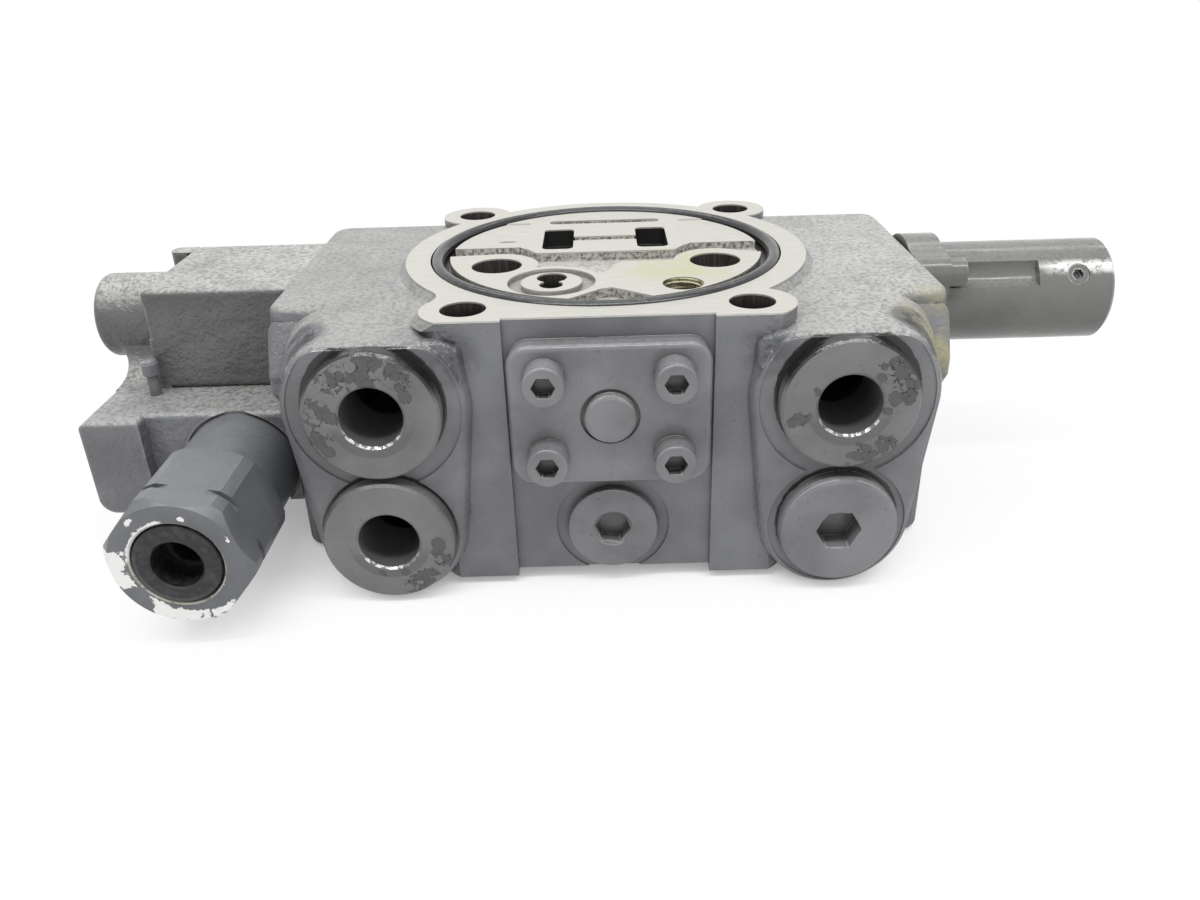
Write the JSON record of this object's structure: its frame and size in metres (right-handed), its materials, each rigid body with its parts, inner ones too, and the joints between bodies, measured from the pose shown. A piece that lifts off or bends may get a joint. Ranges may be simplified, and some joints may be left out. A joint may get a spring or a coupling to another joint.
{
  "type": "boom valve",
  "caption": "Cast hydraulic spool valve with a round O-ring flange on top, hose ports in front, a pilot housing with relief valve on the left and a spring cap on the right.",
  "frame": {"origin": "centre of the round mounting flange's face", "axes": "+X along the spool towards the spring cap, +Z out of the flange face, hose ports towards -Y"},
  "size_m": [0.469, 0.2228, 0.1184],
  "materials": {
    "cast_paint": "satin grey paint over cast iron",
    "cap_paint": "satin dark grey paint",
    "plate_paint": "satin grey paint",
    "port_steel": "flaking grey paint over steel",
    "relief_paint": "satin grey paint, chipped",
    "seal_rubber": "satin",
    "plated_steel": "yellow zinc plate",
    "black_steel": "black oxide",
    "spring_steel": "oiled",
    "bare_steel": "ground"
  },
  "bodies": {
    "valve": {"valve_body": "cast_paint", "flange_o_ring": "seal_rubber", "orifice_plug": "plated_steel", "upper_left_port": "port_steel", "lower_left_port": "port_steel", "upper_right_port": "port_steel", "port_o_rings": "seal_rubber", "lower_right_plug": "port_steel", "plug_o_ring": "seal_rubber", "cover_plate": "plate_paint", "cover_screws": "plate_paint", "cover_stud": "plate_paint", "cover_o_ring": "seal_rubber", "load_check_spring": "spring_steel", "centre_plug": "plate_paint", "centre_plug_o_ring": "seal_rubber", "actuator_housing": "cast_paint", "housing_o_ring": "seal_rubber", "housing_screws": "plate_paint", "bleed_screw": "plate_paint", "relief_body": "relief_paint", "relief_o_ring": "seal_rubber", "relief_sleeve": "black_steel", "relief_spring": "spring_steel", "spring_cap": "cap_paint", "cap_o_ring": "seal_rubber", "cap_screws": "cap_paint", "cap_set_screw": "cap_paint", "outer_spring_seat": "bare_steel", "return_spring": "spring_steel"},
    "spool": {"main_spool": "bare_steel", "pilot_piston": "bare_steel", "spool_bolt": "black_steel", "inner_spring_seat": "bare_steel"},
    "load_check": {"load_check_poppet": "bare_steel"},
    "relief": {"relief_poppet": "bare_steel"}
  },
  "joints": [
    {"name": "spool_slide", "type": "slide", "parent": "valve", "child": "spool", "axis": [1, 0, 0], "range_m": [0, 0.01], "stiffness_N_per_m": 20000, "springref_m": -0.004, "deforming": ["return_spring"]},
    {"name": "load_check_lift", "type": "slide", "parent": "valve", "child": "load_check", "axis": [0, -1, 0], "range_m": [0, 0.008], "stiffness_N_per_m": 1500, "springref_m": -0.004, "deforming": ["load_check_spring"]},
    {"name": "relief_lift", "type": "slide", "parent": "valve", "child": "relief", "axis": [0, -1, 0], "range_m": [0, 0.004], "stiffness_N_per_m": 40000, "springref_m": -0.003, "deforming": ["relief_spring"]}
  ]
}
